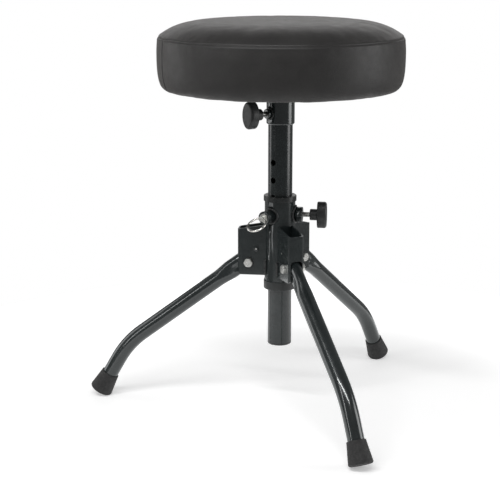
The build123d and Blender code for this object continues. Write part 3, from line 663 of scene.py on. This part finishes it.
def dust_cloth_piece():
    """Cloth stapled over the hem, with a turned edge and slight pulls towards its staples."""
    columns = 168
    angles = np.arange(columns) * 2 * math.pi / columns
    inner = [8, 20, 35, 50, 62, 70, 76, 82, 88, 94, 100]
    radii = np.array([*inner, 105, 109, 112, 114.5, 116.5, 117.6, 118]) * MM
    pull = np.cos(STAPLES * angles)[None, :]
    free = np.clip((radii - PLATE_HALF_DIAGONAL) / (20 * MM), 0, 1)[:, None]
    ripple = 0.16 * MM * (waves(angles, 22, 11)[None, :] + 0.7 * pull) * free
    turned = 0.25 * MM * (radii > 108.5 * MM)[:, None]
    edge = np.clip((118 * MM - radii) / (1.5 * MM), 0, 1)[:, None]
    lower_z = CLOTH_LOW.z + 0.2 * MM * free - np.minimum(ripple, 0.3 * MM) * edge - turned * edge
    upper_z = np.full_like(lower_z, CLOTH_HIGH.z) + 0.02 * MM
    wobble = 1 + 0.0035 * waves(angles, 14, 12)[None, :] * (radii / CLOTH_RADIUS)[:, None] ** 4
    lower = ring_points(radii[:, None] * wobble, lower_z, angles[None, :])
    upper = ring_points(radii[::-1, None] * wobble[::-1], upper_z[::-1], angles[None, :])
    vertices = list(lower.reshape(-1, 3)) + list(upper.reshape(-1, 3))
    vertices += [(COLUMN.x, COLUMN.y, CLOTH_LOW.z), (COLUMN.x, COLUMN.y, CLOTH_HIGH.z)]
    shape = (2 * len(radii), columns)
    faces = grid_faces(*shape) + end_fans(*shape, len(vertices) - 2, len(vertices) - 1)
    piece = add_mesh("seat_dust_cloth", vertices, faces, "seat", "cloth")
    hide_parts("underside_cloth")


def rod_along(points, radius, sides=8, closed=False):
    """Vertices and faces of a round rod along a list of points, with flat ends unless it is closed."""
    points = [Vector(p) for p in points]
    count = len(points)
    vertices, faces = [], []
    across = None
    for i, point in enumerate(points):
        if closed:
            direction = (points[(i + 1) % count] - points[i - 1]).normalized()
        else:
            direction = (points[min(i + 1, count - 1)] - points[max(i - 1, 0)]).normalized()
        if across is None:
            across = direction.orthogonal()
        across = (across - direction * across.dot(direction)).normalized()
        side = direction.cross(across)
        r = radius[i] if hasattr(radius, "__len__") else radius
        for k in range(sides):
            turn = 2 * math.pi * k / sides
            vertices.append(point + (across * math.cos(turn) + side * math.sin(turn)) * r)
    for i in range(count if closed else count - 1):
        for k in range(sides):
            a, b = i * sides + k, i * sides + (k + 1) % sides
            after = ((i + 1) % count) * sides
            faces.append((a, b, after + (k + 1) % sides, after + k))
    if not closed:
        faces.append(tuple(range(sides))[::-1])
        faces.append(tuple((count - 1) * sides + k for k in range(sides)))
    return vertices, faces


def merged(parts):
    """One vertex and face list from several."""
    vertices, faces = [], []
    for some_vertices, some_faces in parts:
        start = len(vertices)
        vertices += some_vertices
        faces += [tuple(start + i for i in face) for face in some_faces]
    return vertices, faces


def cloth_staples():
    """Wire staples round the edge of the dust cloth, not quite in line."""
    draw = np.random.default_rng(21)
    parts = []
    height = CLOTH_LOW.z - 0.25 * MM
    for k in range(STAPLES):
        turn = 2 * math.pi * (k + draw.uniform(-0.12, 0.12)) / STAPLES
        radius = CLOTH_RADIUS - STAPLE_INSET + draw.uniform(-0.8, 0.8) * MM
        centre = Vector((COLUMN.x + radius * math.cos(turn), COLUMN.y + radius * math.sin(turn), height))
        lean = turn + math.pi / 2 + draw.uniform(-0.2, 0.2)
        half = Vector((math.cos(lean), math.sin(lean), 0)) * 5.5 * MM
        up = Vector((0, 0, 1.6 * MM))
        corner = Vector((0, 0, 0.3 * MM))
        route = [centre - half + up, centre - half + corner, centre - half * 0.94, centre + half * 0.94]
        route += [centre + half + corner, centre + half + up]
        parts.append(rod_along(route, 0.4 * MM, sides=8))
    vertices, faces = merged(parts)
    add_mesh("cloth_staples", vertices, faces, "seat", "zinc_steel")


dust_cloth_piece()
cloth_staples()


# ------------------------------------------------------------------ welds
def rippled(length, pitch, radius, seed):
    """Radii along a bead: overlapping ripples with a little unevenness."""
    draw = np.random.default_rng(seed)
    steps = max(12, int(length / pitch * 7))
    along = np.linspace(0, length, steps)
    ripple = np.abs(np.sin(math.pi * along / pitch)) ** 0.7
    drift = np.interp(along, np.linspace(0, length, 9), draw.uniform(-1, 1, 9))
    return along, radius * (0.86 + 0.14 * ripple + 0.05 * drift)


def bracket_beads():
    """Bead down each corner between a bracket's cheek and the column."""
    parts = []
    half_width = 10 * MM
    corner = math.sqrt(COLUMN_RADIUS**2 - half_width**2)
    low, high = 172.5 * MM, 191.5 * MM
    for index, azimuth in enumerate(LEGS.values()):
        for side in (-1, 1):
            along, radii = rippled(high - low, 2.1 * MM, 2.0 * MM, 30 + 2 * index + side)
            ends = np.sqrt(np.clip(1 - (np.abs(2 * along / (high - low) - 1)) ** 6, 0.05, 1))
            start = Vector((corner + 0.7 * MM, side * (half_width + 0.7 * MM), low))
            route = [radial(azimuth) @ (start + Vector((0, 0, a))) for a in along]
            parts.append(rod_along(route, list(radii * ends), sides=14))
    return parts


def ring_bead(tube_radius, boss_radius, height, azimuth, size, seed):
    """Bead round the root of a boss, following the round of the tube that it stands on."""
    length = 2 * math.pi * boss_radius
    along, radii = rippled(length, length / round(length / (2.1 * MM)), size, seed)
    route = []
    for a in along[:-1]:
        turn = 2 * math.pi * a / length
        y, z = boss_radius * math.cos(turn), boss_radius * math.sin(turn)
        x = math.sqrt(tube_radius**2 - min(y * y, (0.98 * tube_radius) ** 2))
        route.append(radial(azimuth) @ Vector((x + 0.4 * MM, y, height + z)))
    return rod_along(route, list(radii[:-1]), sides=12, closed=True)


def frame_welds():
    parts = bracket_beads()
    parts.append(ring_bead(COLUMN_RADIUS, 8.7 * MM, LOCK_HEIGHT, LOCK_AZIMUTH, 1.7 * MM, 41))
    parts.append(ring_bead(COLUMN_RADIUS, 10.0 * MM, LOCK_HEIGHT, CLAMP_AZIMUTH, 1.7 * MM, 42))
    piece = add_mesh("frame_welds", *merged(parts), "frame", "weld")
    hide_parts("weld_beads")


def socket_welds():
    """Bead round the top of the seat socket, under its plate, and round its clamp boss."""
    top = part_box("seat_socket")[1].z - 0.9 * MM
    radius = SOCKET_RADIUS + 0.7 * MM
    length = 2 * math.pi * radius
    along, radii = rippled(length, length / round(length / (2.3 * MM)), 1.9 * MM, 51)
    route = [Vector((COLUMN.x + radius * math.cos(a / radius), COLUMN.y + radius * math.sin(a / radius), top))
             for a in along[:-1]]
    parts = [rod_along(route, list(radii[:-1]), sides=12, closed=True)]
    parts.append(ring_bead(SOCKET_RADIUS, 6.4 * MM, SEAT_CLAMP_HEIGHT, SEAT_CLAMP_AZIMUTH, 1.2 * MM, 52))
    piece = add_mesh("socket_welds", *merged(parts), "seat", "weld")
    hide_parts("socket_weld")


frame_welds()
socket_welds()


# ------------------------------------------------------------------ floor, lights and camera
CAMERA_DISTANCE = 1.5947  # from the column's axis, along the floor
CAMERA_AZIMUTH = -113.24
CAMERA_HEIGHT = 0.5910
CAMERA_HEADING = 68.10
CAMERA_PITCH = 13.73
CAMERA_LENS = 94.52
FLOOR_RADIUS = 0.62
FLOOR_GLOW = (0.35, 0.85)  # at the middle and at the rim
ROOM_BRIGHTNESS = 0.2


def camera():
    data = bpy.data.cameras.new("camera")
    data.lens = CAMERA_LENS
    data.sensor_width = 36
    data.clip_start = 0.05
    piece = bpy.data.objects.new("camera", data)
    bpy.context.scene.collection.objects.link(piece)
    azimuth = math.radians(CAMERA_AZIMUTH)
    piece.location = (
        COLUMN.x + CAMERA_DISTANCE * math.cos(azimuth),
        COLUMN.y + CAMERA_DISTANCE * math.sin(azimuth),
        CAMERA_HEIGHT,
    )
    piece.rotation_euler = (math.radians(90 - CAMERA_PITCH), 0, math.radians(CAMERA_HEADING - 90))
    bpy.context.scene.camera = piece


def floor():
    """Pale round floor that glows a little, and fades to white at its rim."""
    columns = 96
    angles = np.arange(columns) * 2 * math.pi / columns
    points = ring_points(FLOOR_RADIUS, -0.2 * MM, angles)
    mesh = bpy.data.meshes.new("floor")
    mesh.from_pydata([tuple(v) for v in points], [], [tuple(range(columns))])
    piece = bpy.data.objects.new("floor", mesh)
    bpy.context.scene.collection.objects.link(piece)
    m = Nodes("floor", Roughness=0.7)
    m.shader.inputs["Specular IOR Level"].default_value = 0.2
    m.shader.inputs["Emission Color"].default_value = (1, 1, 1, 1)
    m.colour(m.mixed(m.noise(0.6, 2), (0.86, 0.86, 0.86), (0.9, 0.9, 0.9)))
    from_middle = m.add("ShaderNodeVectorMath", operation="LENGTH")
    m.link(m.place, from_middle.inputs[0])
    glow = m.ranged(from_middle.outputs["Value"], FLOOR_RADIUS * 0.4, FLOOR_RADIUS * 0.9, *FLOOR_GLOW)
    m.link(glow, m.shader.inputs["Emission Strength"])
    mesh.materials.append(m.material)


def area_light(name, azimuth, distance, height, size, power, aim_height):
    """Rectangular light beside the object, turned towards the column at a height."""
    data = bpy.data.lights.new(name, "AREA")
    data.shape = "RECTANGLE"
    data.size, data.size_y = size
    data.energy = power
    piece = bpy.data.objects.new(name, data)
    bpy.context.scene.collection.objects.link(piece)
    turn = math.radians(azimuth)
    piece.location = COLUMN + Vector((distance * math.cos(turn), distance * math.sin(turn), height))
    aim = COLUMN + Vector((0, 0, aim_height)) - piece.location
    piece.rotation_euler = aim.to_track_quat("-Z", "Y").to_euler()


def lights():
    """Soft boxes at both sides and behind, two narrow ones, and a dim room with a white backdrop."""
    area_light("left_softbox", CAMERA_AZIMUTH - 108, 1.9, 0.55, (0.9, 1.3), 6.4, 0.25)
    area_light("right_softbox", CAMERA_AZIMUTH + 85, 1.9, 0.55, (1.0, 1.3), 13.0, 0.25)
    area_light("rear_softbox", CAMERA_AZIMUTH + 180, 2.0, 1.1, (2.2, 0.9), 7.0, 0.4)
    area_light("overhead_strip", CAMERA_AZIMUTH - 20, 1.0, 1.5, (1.6, 0.09), 16.0, 0.2)
    area_light("left_strip", CAMERA_AZIMUTH - 57, 1.8, 0.9, (0.12, 1.4), 5.0, 0.15)
    world = bpy.data.worlds.new("studio")
    world.use_nodes = True
    tree = world.node_tree
    room = tree.nodes["Background"]
    room.inputs["Color"].default_value = (1, 1, 1, 1)
    path = tree.nodes.new("ShaderNodeLightPath")
    brightness = tree.nodes.new("ShaderNodeMapRange")
    brightness.inputs["To Min"].default_value = ROOM_BRIGHTNESS
    brightness.inputs["To Max"].default_value = 1.0
    tree.links.new(path.outputs["Is Camera Ray"], brightness.inputs["Value"])
    tree.links.new(brightness.outputs["Result"], room.inputs["Strength"])
    bpy.context.scene.world = world
    bpy.context.scene.view_settings.view_transform = "Standard"


camera()
floor()
lights()
